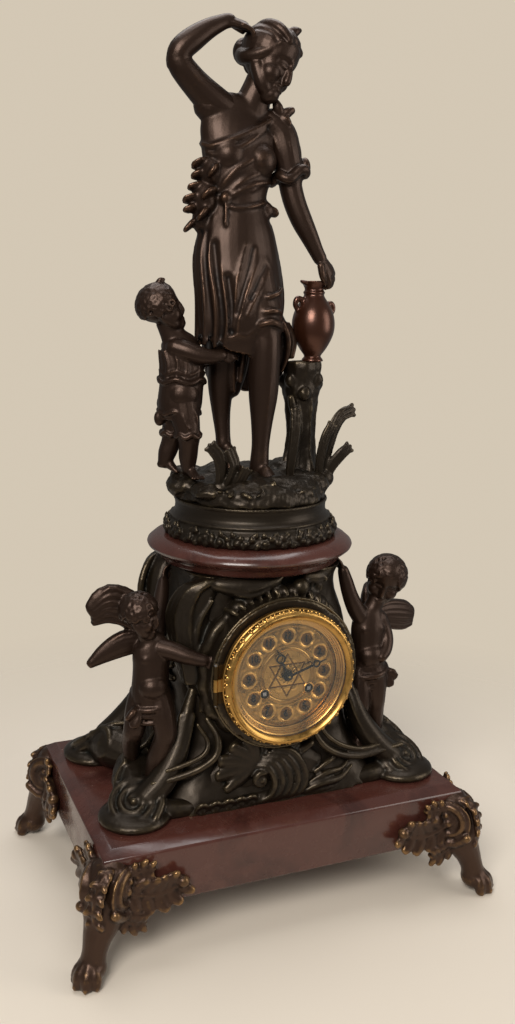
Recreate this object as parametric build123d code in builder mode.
"""Figural mantel clock: a rouge marble plinth on four paw feet, a scrolled cast case with two winged
putti, a round marble cap, and a cast group of a draped woman, a child and a ewer on a turned socle.
Behind the gilt dial sits an eight-day striking movement with its pendulum, bell and hammer.

Millimetres, +Z up. The origin is on the table at the middle of the plinth, and the dial faces -Y.
"""

import math
import os

from build123d import *

os.makedirs("parts", exist_ok=True)

# Marble plinth
PLINTH_WIDTH = 334.0
PLINTH_DEPTH = 228.0
PLINTH_BOTTOM = 50.0
PLINTH_HEIGHT = 52.0
PLINTH_BEVEL = 9.0
PLINTH_RISE = 6.0
PLINTH_TOP = PLINTH_BOTTOM + PLINTH_HEIGHT

# Paw feet
FOOT_LEAF_REACH = 62.0
FOOT_LEAF_THICKNESS = 7.0
FOOT_LEAF_TOP = 34.0
FOOT_LEAF_DROP = 9.0
FOOT_LEAF_LOBES = 5
KNEE_RADIUS = 25.0
ANKLE_RADIUS = 10.0
PAW_RADIUS = 12.0
TOE_RADIUS = 6.5
TOE_COUNT = 4
PAW_REACH_X = 16.0
PAW_REACH_Y = 9.0

# Case
CASE_TOP = 304.0
CASE_WALL = 5.0
CASE_CORNER = 30.0
DRUM_RADIUS = 66.0
DRUM_BORE = 50.0
DRUM_FRONT = -86.0
REAR_RING_RADIUS = 58.0
CASE_REAR = 66.0
DIAL_Z = 221.0

# Marble cap and socle
CAP_RADIUS = 92.0
CAP_HEIGHT = 23.0
CAP_NECK_RADIUS = 80.0
CAP_NECK_HEIGHT = 7.0
CAP_TOP = CASE_TOP + CAP_HEIGHT
SOCLE_RADIUS = 80.0
SOCLE_WAIST = 71.0
SOCLE_HEIGHT = 33.0
SOCLE_BAND = 18.0
SOCLE_WALL = 6.0
SOCLE_TOP = CAP_TOP + SOCLE_HEIGHT
STUD_RADIUS = 4.0

# Terrace under the figures
TERRACE_RADIUS = 70.0
TERRACE_HEIGHT = 22.0
TERRACE_TOP = SOCLE_TOP + TERRACE_HEIGHT

# Fits
RUNNING = 0.05
SEAT = 0.3


def rod(u, v, radius, front, back):
    """Round bar along Y, placed on the dial plane at u right and v up from the dial centre."""
    with BuildPart() as piece:
        with BuildSketch(Plane((u, back, DIAL_Z + v), (1, 0, 0), (0, -1, 0))):
            Circle(radius)
        extrude(amount=back - front)
    return piece.part


def turned(profile):
    """Solid turned about Z from (radius, height) corners."""
    with BuildPart() as piece:
        with BuildSketch(Plane.XZ):
            with BuildLine():
                Polyline(*profile, close=True)
            make_face()
        revolve(axis=Axis.Z)
    return piece.part


def turned_on_dial(profile, u=0.0, v=0.0, y=0.0):
    """Solid turned about an axis along Y from (radius, y) corners."""
    with BuildPart() as piece:
        with BuildSketch(Plane((u, y, DIAL_Z + v), (1, 0, 0), (0, 0, 1))):
            with BuildLine():
                Polyline(*profile, close=True)
            make_face()
        revolve(axis=Axis((u, 0, DIAL_Z + v), (0, 1, 0)))
    return piece.part


def limb(stations):
    """Smooth round limb through (x, y, z, radius) stations."""
    with BuildLine() as run:
        Spline(*[station[:3] for station in stations])
    path = run.edges()[0]
    with BuildPart() as piece:
        for x, y, z, radius in stations:
            along = path.tangent_at(path.param_at_point(Vector(x, y, z)))
            lead = Vector(0, 1, 0) if abs(along.Y) < 0.8 else Vector(1, 0, 0)
            with BuildSketch(Plane((x, y, z), lead - along * along.dot(lead), along)):
                Circle(radius)
        loft()
    return piece.part


def trunk(rows):
    """Smooth body through level ellipses given as (z, x, y, half width, half depth)."""
    with BuildPart() as piece:
        for z, x, y, half_width, half_depth in rows:
            with BuildSketch(Plane((x, y, z))):
                Ellipse(half_width, half_depth)
        loft()
    return piece.part


def egg(center, radius, half_length, axis=(0, 0, 1)):
    """Egg shaped solid with its long axis along the given direction and two small flat ends."""
    along = Vector(*axis).normalized()
    lead = Vector(0, 1, 0) if abs(along.Y) < 0.8 else Vector(1, 0, 0)
    with BuildPart() as piece:
        for share in (-0.98, -0.88, -0.68, -0.36, 0, 0.36, 0.68, 0.88, 0.98):
            spot = Vector(*center) + along * (half_length * share)
            with BuildSketch(Plane(spot, lead - along * along.dot(lead), along)):
                Circle(radius * math.sqrt(1 - share ** 2))
        loft()
    return piece.part


def leaf(base, tip, width, thickness, normal=(0, -1, 0)):
    """Pointed leaf plate from base to tip, with its flat face along the normal."""
    start = Vector(*base)
    run = Vector(*tip) - start
    facing = Vector(*normal)
    along = run.normalized()
    facing = (facing - along * along.dot(facing)).normalized()
    with BuildPart() as piece:
        with BuildSketch(Plane(start, along, facing)):
            with BuildLine():
                ThreePointArc((0, 0), (run.length * 0.45, width / 2), (run.length, 0))
                ThreePointArc((run.length, 0), (run.length * 0.45, -width / 2), (0, 0))
            make_face()
        extrude(amount=thickness / 2, both=True)
    return piece.part


# Marble plinth with holes for the case bolts and the foot bolts
CASE_BOLT_X = 74.0
CASE_BOLT_Y = 48.0
CASE_BOLT_RADIUS = 3.0
CASE_BOLT_HEAD = 7.0
CASE_BOLT_SINK = 9.0
FOOT_BOLT_X = PLINTH_WIDTH / 2 - 17.0
FOOT_BOLT_Y = PLINTH_DEPTH / 2 - 17.0
FOOT_BOLT_RADIUS = 2.5
FOOT_BOLT_DEPTH = 26.0
CASE_BOLT_SPOTS = [(x, y) for x in (-CASE_BOLT_X, CASE_BOLT_X) for y in (-CASE_BOLT_Y, CASE_BOLT_Y)]
FOOT_BOLT_SPOTS = [(x, y) for x in (-FOOT_BOLT_X, FOOT_BOLT_X) for y in (-FOOT_BOLT_Y, FOOT_BOLT_Y)]

with BuildPart() as marble_plinth:
    with Locations((0, 0, PLINTH_BOTTOM)):
        Box(PLINTH_WIDTH, PLINTH_DEPTH, PLINTH_HEIGHT, align=(Align.CENTER, Align.CENTER, Align.MIN))
    chamfer(marble_plinth.faces().sort_by(Axis.Z)[-1].edges(), PLINTH_RISE, PLINTH_BEVEL)
    with BuildSketch(Plane.XY.offset(PLINTH_BOTTOM)):
        with Locations(*CASE_BOLT_SPOTS):
            Circle(CASE_BOLT_RADIUS + SEAT)
    extrude(amount=PLINTH_HEIGHT, mode=Mode.SUBTRACT)
    with BuildSketch(Plane.XY.offset(PLINTH_BOTTOM)):
        with Locations(*CASE_BOLT_SPOTS):
            Circle(CASE_BOLT_HEAD + SEAT)
    extrude(amount=CASE_BOLT_SINK, mode=Mode.SUBTRACT)
    with BuildSketch(Plane.XY.offset(PLINTH_BOTTOM)):
        with Locations(*FOOT_BOLT_SPOTS):
            Circle(FOOT_BOLT_RADIUS + RUNNING)
    extrude(amount=FOOT_BOLT_DEPTH, mode=Mode.SUBTRACT)
marble_plinth.part.label = "marble_plinth"
export_step(marble_plinth.part, "parts/marble_plinth.step")


def foot_leaf(length):
    """Lobed acanthus leaf outline as (along, up) arcs, growing from the corner along a plinth face."""
    with BuildLine() as edge:
        corners = []
        for step in range(FOOT_LEAF_LOBES + 1):
            share = step / FOOT_LEAF_LOBES
            corners.append((length * share, -FOOT_LEAF_DROP + (FOOT_LEAF_DROP + FOOT_LEAF_TOP - 8) * share ** 2))
        for start, end in zip(corners, corners[1:]):
            middle = ((start[0] + end[0]) / 2 + 2, (start[1] + end[1]) / 2 - 5)
            ThreePointArc(start, middle, end)
        Line(corners[-1], (length * 0.7, FOOT_LEAF_TOP))
        Line((length * 0.7, FOOT_LEAF_TOP), (0, FOOT_LEAF_TOP + 4))
        Line((0, FOOT_LEAF_TOP + 4), corners[0])
    with BuildSketch() as outline:
        add(edge.line)
        make_face()
    return outline.sketch


CORNER_X = PLINTH_WIDTH / 2
CORNER_Y = -PLINTH_DEPTH / 2
PAW_X = CORNER_X + PAW_REACH_X
PAW_Y = CORNER_Y - PAW_REACH_Y
PAD_THICKNESS = 5.0
FOOT_LEG = limb([
    (CORNER_X - 6, CORNER_Y + 5, PLINTH_BOTTOM + 16, KNEE_RADIUS - 7),
    (CORNER_X + 4, CORNER_Y - 3, PLINTH_BOTTOM + 4, KNEE_RADIUS - 8),
    (CORNER_X + 9, CORNER_Y - 6, 36, ANKLE_RADIUS + 3),
    (CORNER_X + 10, CORNER_Y - 7, 24, ANKLE_RADIUS),
    (CORNER_X + 11, CORNER_Y - 8, 11, ANKLE_RADIUS + 1),
])
FOOT_TOES = []
for number in range(TOE_COUNT):
    swing = math.atan2(-0.6, 1.0) + math.radians((number - (TOE_COUNT - 1) / 2) * 24)
    toe_x = PAW_X - 10 + 15 * math.cos(swing)
    toe_y = PAW_Y + 6 + 15 * math.sin(swing)
    FOOT_TOES.append(egg((toe_x, toe_y, TOE_RADIUS - 1), TOE_RADIUS - 1, TOE_RADIUS + 4,
                         (math.cos(swing), math.sin(swing), -0.3)))

with BuildPart() as foot_front_right:
    add(FOOT_LEG)
    add(egg((CORNER_X - 6, CORNER_Y + 6, PLINTH_BOTTOM + 22), KNEE_RADIUS, KNEE_RADIUS - 3, (1, -0.7, 0.2)))
    add(egg((PAW_X - 3, PAW_Y + 2, PAW_RADIUS - 3), PAW_RADIUS - 1, PAW_RADIUS + 3, (1, -0.6, -0.2)))
    for toe in FOOT_TOES:
        add(toe)
    with BuildSketch(Plane((CORNER_X + 4, CORNER_Y, PLINTH_BOTTOM), (-1, 0, 0), (0, -1, 0))):
        add(mirror(foot_leaf(FOOT_LEAF_REACH), about=Plane.XZ))
    extrude(amount=FOOT_LEAF_THICKNESS)
    with BuildSketch(Plane((CORNER_X, CORNER_Y - 4, PLINTH_BOTTOM), (0, 1, 0), (1, 0, 0))):
        add(foot_leaf(FOOT_LEAF_REACH * 0.85))
    extrude(amount=FOOT_LEAF_THICKNESS)
    with Locations((FOOT_BOLT_X, -FOOT_BOLT_Y, PLINTH_BOTTOM)):
        Box(44, 38, PAD_THICKNESS, align=(Align.CENTER, Align.CENTER, Align.MAX))
        Cylinder(FOOT_BOLT_RADIUS + RUNNING, 2 * PAD_THICKNESS + 1, mode=Mode.SUBTRACT)
    add(marble_plinth.part, mode=Mode.SUBTRACT)
    with Locations((FOOT_BOLT_X, -FOOT_BOLT_Y, PLINTH_BOTTOM)):
        Cylinder(FOOT_BOLT_RADIUS + RUNNING, 2 * FOOT_BOLT_DEPTH, mode=Mode.SUBTRACT)
    split(bisect_by=Plane.XY, keep=Keep.TOP)
foot_front_right.part.label = "foot_front_right"
export_step(foot_front_right.part, "parts/foot_front_right.step")

with BuildPart() as foot_front_left:
    mirror(foot_front_right.part, about=Plane.YZ)
foot_front_left.part.label = "foot_front_left"
export_step(foot_front_left.part, "parts/foot_front_left.step")

with BuildPart() as foot_rear_right:
    mirror(foot_front_right.part, about=Plane.XZ)
foot_rear_right.part.label = "foot_rear_right"
export_step(foot_rear_right.part, "parts/foot_rear_right.step")

with BuildPart() as foot_rear_left:
    mirror(foot_front_left.part, about=Plane.XZ)
foot_rear_left.part.label = "foot_rear_left"
export_step(foot_rear_left.part, "parts/foot_rear_left.step")

FOOT_BOLT_HEAD = 4.5
with BuildPart() as foot_bolts:
    with BuildSketch(Plane.XY.offset(PLINTH_BOTTOM - PAD_THICKNESS)):
        with Locations(*FOOT_BOLT_SPOTS):
            RegularPolygon(FOOT_BOLT_HEAD, 6)
    extrude(amount=-3.5)
    with BuildSketch(Plane.XY.offset(PLINTH_BOTTOM - PAD_THICKNESS)):
        with Locations(*FOOT_BOLT_SPOTS):
            Circle(FOOT_BOLT_RADIUS)
    extrude(amount=PAD_THICKNESS + FOOT_BOLT_DEPTH - 1)
foot_bolts.part.label = "foot_bolts"
export_step(foot_bolts.part, "parts/foot_bolts.step")

CASE_FLOOR = 6.0
NUT_HEIGHT = 5.0
with BuildPart() as case_bolts:
    with BuildSketch(Plane.XY.offset(PLINTH_BOTTOM + CASE_BOLT_SINK)):
        with Locations(*CASE_BOLT_SPOTS):
            Circle(CASE_BOLT_HEAD)
    extrude(amount=-4)
    with BuildSketch(Plane.XY.offset(PLINTH_BOTTOM + CASE_BOLT_SINK)):
        with Locations(*CASE_BOLT_SPOTS):
            Circle(CASE_BOLT_RADIUS)
    extrude(amount=PLINTH_TOP + CASE_FLOOR + NUT_HEIGHT + 2 - PLINTH_BOTTOM - CASE_BOLT_SINK)
    with BuildSketch(Plane.XY.offset(PLINTH_TOP + CASE_FLOOR)):
        with Locations(*CASE_BOLT_SPOTS):
            RegularPolygon(CASE_BOLT_RADIUS * 2.1, 6)
            Circle(CASE_BOLT_RADIUS + RUNNING, mode=Mode.SUBTRACT)
    extrude(amount=NUT_HEIGHT)
case_bolts.part.label = "case_bolts"
export_step(case_bolts.part, "parts/case_bolts.step")

# Round marble cap on the case neck, with a moulded edge
with BuildPart() as marble_cap:
    with BuildSketch(Plane.XZ):
        with BuildLine():
            Line((STUD_RADIUS + SEAT, CASE_TOP), (CAP_NECK_RADIUS - 4, CASE_TOP))
            Line((CAP_NECK_RADIUS - 4, CASE_TOP), (CAP_NECK_RADIUS, CASE_TOP + 2))
            Line((CAP_NECK_RADIUS, CASE_TOP + 2), (CAP_NECK_RADIUS, CASE_TOP + CAP_NECK_HEIGHT))
            Line((CAP_NECK_RADIUS, CASE_TOP + CAP_NECK_HEIGHT), (CAP_RADIUS - 6, CASE_TOP + CAP_NECK_HEIGHT))
            ThreePointArc((CAP_RADIUS - 6, CASE_TOP + CAP_NECK_HEIGHT),
                          (CAP_RADIUS, (CASE_TOP + CAP_NECK_HEIGHT + CAP_TOP) / 2),
                          (CAP_RADIUS - 6, CAP_TOP))
            Line((CAP_RADIUS - 6, CAP_TOP), (STUD_RADIUS + SEAT, CAP_TOP))
            Line((STUD_RADIUS + SEAT, CAP_TOP), (STUD_RADIUS + SEAT, CASE_TOP))
        make_face()
    revolve(axis=Axis.Z)
marble_cap.part.label = "marble_cap"
export_step(marble_cap.part, "parts/marble_cap.step")

# Turned socle: a leafy torus, a hollow waist and a top plate, open underneath
with BuildPart() as socle:
    with BuildSketch(Plane.XZ):
        with BuildLine():
            Line((SOCLE_RADIUS - 4, CAP_TOP), (SOCLE_RADIUS, CAP_TOP + 3))
            ThreePointArc((SOCLE_RADIUS, CAP_TOP + 3), (SOCLE_RADIUS - 0.5, CAP_TOP + SOCLE_BAND * 0.6),
                          (SOCLE_RADIUS - 5, CAP_TOP + SOCLE_BAND))
            ThreePointArc((SOCLE_RADIUS - 5, CAP_TOP + SOCLE_BAND), (SOCLE_WAIST, CAP_TOP + SOCLE_BAND + 6),
                          (SOCLE_WAIST + 1, SOCLE_TOP))
            Polyline((SOCLE_WAIST + 1, SOCLE_TOP), (STUD_RADIUS + SEAT, SOCLE_TOP),
                     (STUD_RADIUS + SEAT, SOCLE_TOP - SOCLE_WALL), (SOCLE_WAIST - SOCLE_WALL, SOCLE_TOP - SOCLE_WALL),
                     (SOCLE_WAIST - SOCLE_WALL, CAP_TOP), (SOCLE_RADIUS - 4, CAP_TOP))
        make_face()
    revolve(axis=Axis.Z)
socle.part.label = "socle"
export_step(socle.part, "parts/socle.step")

# Long stud that clamps the figure group, socle and cap to the top of the case
STUD_NUT = 6.0
STUD_BOTTOM = CASE_TOP - CASE_WALL - STUD_NUT - 8
STUD_TOP = SOCLE_TOP + 10
with BuildPart() as figure_stud:
    with Locations((0, 0, STUD_BOTTOM)):
        Cylinder(STUD_RADIUS, STUD_TOP - STUD_BOTTOM, align=(Align.CENTER, Align.CENTER, Align.MIN))
    chamfer(figure_stud.edges().group_by(Axis.Z)[0], 0.8)
    with BuildSketch(Plane.XY.offset(CASE_TOP - CASE_WALL)):
        Circle(STUD_RADIUS * 2.6)
        Circle(STUD_RADIUS + RUNNING, mode=Mode.SUBTRACT)
    extrude(amount=-1.5)
    with BuildSketch(Plane.XY.offset(CASE_TOP - CASE_WALL - 1.5)):
        RegularPolygon(STUD_RADIUS * 2, 6)
        Circle(STUD_RADIUS + RUNNING, mode=Mode.SUBTRACT)
    extrude(amount=-STUD_NUT)
figure_stud.part.label = "figure_stud"
export_step(figure_stud.part, "parts/figure_stud.step")

# Cast case: a waisted hollow box, a drum for the dial in front and a ring seat behind
CASE_ROWS = [
    (PLINTH_TOP, 102, 82), (PLINTH_TOP + 14, 98, 78), (PLINTH_TOP + 34, 88, 70), (PLINTH_TOP + 70, 80, 62),
    (DIAL_Z, 81, 60), (DIAL_Z + 36, 77, 58), (DIAL_Z + 60, 69, 58), (CASE_TOP, 72, 64),
]
REAR_BORE = 48.0


def case_loft(inset, top, bottom):
    """Waisted body through the case rows, drawn in by the inset and cut off at two heights."""
    with BuildPart() as piece:
        for z, half_width, half_depth in CASE_ROWS:
            with BuildSketch(Plane.XY.offset(z)):
                RectangleRounded(2 * (half_width - inset), 2 * (half_depth - inset), CASE_CORNER - inset)
        loft()
        split(bisect_by=Plane.XY.offset(top), keep=Keep.BOTTOM)
        split(bisect_by=Plane.XY.offset(bottom), keep=Keep.TOP)
    return piece.part


CASE_CAVITY = case_loft(CASE_WALL, CASE_TOP - CASE_WALL, PLINTH_TOP + CASE_FLOOR)
with BuildPart() as case_hull:
    add(case_loft(0, CASE_TOP, PLINTH_TOP))
    add(rod(0, 0, DRUM_RADIUS, DRUM_FRONT, 0))
    add(rod(0, 0, REAR_RING_RADIUS, 0, CASE_REAR))
CASE_OUTER = case_hull.part
with BuildPart() as case_body:
    add(CASE_OUTER)
    add(CASE_CAVITY, mode=Mode.SUBTRACT)
    add(rod(0, 0, DRUM_BORE, DRUM_FRONT, 0), mode=Mode.SUBTRACT)
    add(rod(0, 0, REAR_BORE, 0, CASE_REAR), mode=Mode.SUBTRACT)
    with BuildSketch(Plane.XY.offset(PLINTH_TOP)):
        with Locations(*CASE_BOLT_SPOTS):
            Circle(CASE_BOLT_RADIUS + SEAT)
    extrude(amount=CASE_FLOOR, mode=Mode.SUBTRACT)
    with BuildSketch(Plane.XY.offset(CASE_TOP)):
        Circle(STUD_RADIUS + SEAT)
    extrude(amount=-CASE_WALL, mode=Mode.SUBTRACT)
case_body.part.label = "case_body"
export_step(case_body.part, "parts/case_body.step")

# Draped woman: trunk with skirt, two legs and feet, neck
LADY_TRUNK = trunk([
    (492, -17, -1, 35, 29), (508, -14, -4, 38, 32), (532, -14, -3, 39, 31), (560, -16, 0, 39, 29),
    (586, -17, 0, 35, 26), (612, -15, -1, 25, 20), (638, -8, -4, 35, 26), (656, -6, 0, 37, 23),
    (676, -4, 2, 30, 17), (688, -3, 2, 14, 12),
])
FRONT_LEG = limb([(-4, -12, 530, 18), (0, -22, 505, 16), (2, -25, 480, 15), (2, -24, 450, 14),
                  (1, -22, 425, 10), (0, -21, 402, 8.5), (0, -20, 386, 9)])
FRONT_FOOT = limb([(-1, -13, 384, 8), (1, -24, 382, 8), (4, -36, 379, 7.5), (7, -47, 377, 5)])
BACK_LEG = limb([(-26, 2, 505, 15), (-26, 6, 480, 13), (-26, 8, 452, 10), (-25, 7, 428, 7), (-24, 5, 412, 6.5)])
BACK_FOOT = limb([(-24, 10, 412, 6.5), (-23, 4, 405, 7), (-21, -3, 396, 6.5), (-19, -9, 386, 5)])
LADY_NECK = limb([(-4, 2, 672, 13), (-2, 1, 684, 11.5), (2, -1, 698, 11), (4, -2, 708, 11)])
DRAPE_KNOT = egg((-48, 0, 604), 15, 24, (-0.5, 0, 1))
with BuildPart() as lady_body:
    add(LADY_TRUNK)
    add(FRONT_LEG)
    add(FRONT_FOOT)
    add(BACK_LEG)
    add(BACK_FOOT)
    add(LADY_NECK)
    add(DRAPE_KNOT)
lady_body.part.label = "lady_body"
export_step(lady_body.part, "parts/lady_body.step")

with BuildPart() as lady_head:
    add(egg((7, -5, 718), 23, 29, (0.25, -0.25, 1)))
    add(egg((10, 3, 730.5), 26, 26.5, (0.5, 0.5, 1)))
    add(LADY_NECK, mode=Mode.SUBTRACT)
lady_head.part.label = "lady_head"
export_step(lady_head.part, "parts/lady_head.step")

with BuildPart() as lady_raised_arm:
    add(limb([(-24, 3, 680, 13.5), (-38, 2, 687, 14), (-56, 0, 700, 12), (-68, -2, 712, 11.5), (-66, -4, 725, 11),
              (-54, -5, 736, 10), (-40, -6, 744, 8), (-30, -6, 748, 6.5)]))
    add(egg((-21, -7, 748), 5.5, 12, (1, 0, 0.1)))
    add(lady_body.part, mode=Mode.SUBTRACT)
    add(lady_head.part, mode=Mode.SUBTRACT)
lady_raised_arm.part.label = "lady_raised_arm"
export_step(lady_raised_arm.part, "parts/lady_raised_arm.step")

# Stump with the ewer on it
STUMP_X = 48.0
STUMP_TOP = 478.0
with BuildPart() as stump:
    for z, radius in ((TERRACE_TOP - 16, 24), (392, 17), (420, 14), (440, 15), (454, 17), (STUMP_TOP, 17.5)):
        with BuildSketch(Plane((STUMP_X, 2, z))):
            Circle(radius)
    loft()
    add(lady_body.part, mode=Mode.SUBTRACT)
stump.part.label = "stump"
export_step(stump.part, "parts/stump.step")

EWER_X = 56.0
EWER_Y = -3.0
EWER_FOOT = 12.0
EWER_BELLY = 19.0
EWER_NECK = 8.0
EWER_LIP = 12.0
EWER_HEIGHT = 70.0
EWER_WALL = 2.0
EWER_DISH = 3.0
with BuildPart() as ewer:
    with BuildSketch(Plane((EWER_X, EWER_Y, STUMP_TOP), (1, 0, 0), (0, -1, 0))):
        with BuildLine():
            Line((0, 0), (EWER_FOOT, 0))
            Line((EWER_FOOT, 0), (EWER_FOOT, 3))
            Spline((EWER_FOOT, 3), (EWER_FOOT * 0.55, 8), (EWER_BELLY * 0.85, 18), (EWER_BELLY, 29),
                   (EWER_BELLY * 0.72, 42), (EWER_NECK, 52), (EWER_NECK + 0.5, 60), (EWER_LIP, EWER_HEIGHT))
            Line((EWER_LIP, EWER_HEIGHT), (EWER_LIP - EWER_WALL, EWER_HEIGHT))
            Line((EWER_LIP - EWER_WALL, EWER_HEIGHT), (0, EWER_HEIGHT - EWER_DISH))
            Line((0, EWER_HEIGHT - EWER_DISH), (0, 0))
        make_face()
    revolve(axis=Axis((EWER_X, EWER_Y, 0), (0, 0, 1)))
    add(stump.part, mode=Mode.SUBTRACT)
    add(lady_body.part, mode=Mode.SUBTRACT)
ewer.part.label = "ewer"
export_step(ewer.part, "parts/ewer.step")

with BuildPart() as lady_lowered_arm:
    add(limb([(20, 1, 674, 14), (30, 0, 664, 15.5), (35, -2, 645, 14), (37, -4, 626, 11), (40, -6, 608, 10.5),
              (46, -9, 590, 9), (53, -12, 575, 7.5), (60, -14, 566, 6.5)]))
    add(egg((68, -14, 559), 5, 12, (1, 0, -0.75)))
    add(lady_body.part, mode=Mode.SUBTRACT)
    add(ewer.part, mode=Mode.SUBTRACT)
lady_lowered_arm.part.label = "lady_lowered_arm"
export_step(lady_lowered_arm.part, "parts/lady_lowered_arm.step")

# Child at the woman's side, looking up
with BuildPart() as child_body:
    add(trunk([(428, -67, 2, 17, 16), (440, -68, 2, 19, 19), (458, -69, 1, 18, 17), (478, -71, 0, 18, 16),
               (492, -74, 0, 17, 13), (502, -77, 0, 9, 9), (512, -80, 0, 9, 9)]))
    add(egg((-85, 0, 525), 20, 21.5, (-0.4, 0, 1)))
    add(limb([(-66, -4, 444, 12), (-64, -7, 430, 11.5), (-62, -9, 415, 10), (-61, -8, 400, 8), (-60, -6, 388, 7)]))
    add(limb([(-62, -2, 384, 6), (-60, -9, 383, 6), (-57, -18, 381, 4.5)]))
    add(limb([(-68, 8, 444, 12), (-67, 8, 430, 11.5), (-69, 10, 415, 10), (-73, 11, 402, 7.5), (-76, 11, 392, 7)]))
    add(limb([(-79, 12, 388, 5.5), (-73, 9, 386, 6), (-66, 5, 383, 4.5)]))
    add(limb([(-72, -6, 492, 8.5), (-64, -12, 488, 8.5), (-54, -16, 484, 8), (-44, -18, 483, 6.5), (-34, -18, 485, 5.5)]))
    add(egg((-27, -18, 486.5), 5, 9, (1, 0, 0.15)))
    add(lady_body.part, mode=Mode.SUBTRACT)
child_body.part.label = "child_body"
export_step(child_body.part, "parts/child_body.step")

# Leaf sprays that grow from the rocky ground
with BuildPart() as leaf_sprays:
    add(egg((66, -14, 376), 9, 11, (0, 0, 1)))
    add(leaf((64, -14, 374), (95, -12, 438), 19, 4, (0.4, -1, 0)))
    add(leaf((66, -15, 374), (86, -22, 408), 17, 4, (0.3, -1, 0.2)))
    add(leaf((62, -16, 374), (60, -24, 424), 16, 4, (0.1, -1, 0)))
    add(egg((-42, -34, 374), 9, 11, (0, 0, 1)))
    add(leaf((-42, -35, 372), (-50, -42, 414), 17, 4, (-0.2, -1, 0)))
    add(leaf((-40, -36, 372), (-26, -44, 406), 15, 4, (0.2, -1, 0)))
    add(leaf((-44, -34, 372), (-64, -34, 396), 14, 4, (-0.4, -1, 0)))
    add(stump.part, mode=Mode.SUBTRACT)
    add(child_body.part, mode=Mode.SUBTRACT)
leaf_sprays.part.label = "leaf_sprays"
export_step(leaf_sprays.part, "parts/leaf_sprays.step")


def ground_ring(z, radius, sway, lobes):
    """Wavy level outline of the rocky ground as points on a closed curve."""
    points = []
    for step in range(16):
        turn = step * math.tau / 16
        reach = radius * (1 + sway * math.sin(lobes * turn + 0.7))
        points.append((reach * math.cos(turn), reach * math.sin(turn), z))
    return points


with BuildPart() as terrace:
    for z, radius, sway in ((SOCLE_TOP, TERRACE_RADIUS, 0), (SOCLE_TOP + 7, TERRACE_RADIUS + 1.5, 0.02),
                            (SOCLE_TOP + 15, TERRACE_RADIUS - 4, 0.04), (TERRACE_TOP, TERRACE_RADIUS - 22, 0.06)):
        with BuildSketch(Plane.XY.offset(z)):
            with BuildLine():
                Spline(*[point[:2] for point in ground_ring(z, radius, sway, 5)], periodic=True)
            make_face()
    loft()
    add(egg((-64, 4, 376), 22, 17, (0, 0, 1)))
    add(egg((-26, 0, 378), 22, 16, (0, 0, 1)))
    add(egg((42, 6, 372), 30, 20, (0, 0, 1)))
    split(bisect_by=Plane.XY.offset(SOCLE_TOP), keep=Keep.TOP)
    with Locations((0, 0, SOCLE_TOP)):
        Cylinder(STUD_RADIUS + RUNNING, 2 * (STUD_TOP - SOCLE_TOP) + 1, mode=Mode.SUBTRACT)
    add(lady_body.part, mode=Mode.SUBTRACT)
    add(child_body.part, mode=Mode.SUBTRACT)
    add(stump.part, mode=Mode.SUBTRACT)
    add(leaf_sprays.part, mode=Mode.SUBTRACT)
terrace.part.label = "terrace"
export_step(terrace.part, "parts/terrace.step")

# Winged putti soldered to the flanks of the case
with BuildPart() as putto_right:
    add(trunk([(186, 101, -44, 15, 14), (200, 101, -44, 18, 17), (216, 101, -43, 16, 15), (236, 102, -42, 17, 14),
               (250, 104, -42, 15, 11), (258, 107, -42, 8, 8), (268, 111, -42, 8, 8)]))
    add(egg((116, -43, 281), 18, 19.5, (0.3, 0, 1)))
    add(limb([(102, -47, 206, 12), (106, -50, 190, 12), (107, -52, 168, 9.5), (108, -50, 148, 9), (109, -48, 120, 6.5)]))
    add(limb([(107, -42, 121, 6), (110, -52, 120, 6), (114, -61, 117, 4.5)]))
    add(limb([(94, -42, 204, 12), (90, -50, 190, 11.5), (90, -56, 170, 9.5), (92, -54, 150, 8.5), (93, -50, 132, 6.5)]))
    add(limb([(96, -42, 246, 8), (88, -43, 258, 8), (80, -44, 274, 7), (76, -43, 288, 6), (73, -42, 298, 5.5)]))
    add(limb([(112, -44, 247, 8), (120, -47, 238, 7.5), (125, -51, 226, 7), (124, -55, 215, 6), (118, -58, 206, 5.5)]))
    add(leaf((106, -29, 236), (160, -20, 256), 34, 5, (0.1, -1, 0.1)))
    add(leaf((104, -29, 240), (148, -18, 274), 24, 5, (0.1, -1, 0.1)))
    add(case_body.part, mode=Mode.SUBTRACT)
    add(marble_cap.part, mode=Mode.SUBTRACT)
putto_right.part.label = "putto_right"
export_step(putto_right.part, "parts/putto_right.step")

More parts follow.
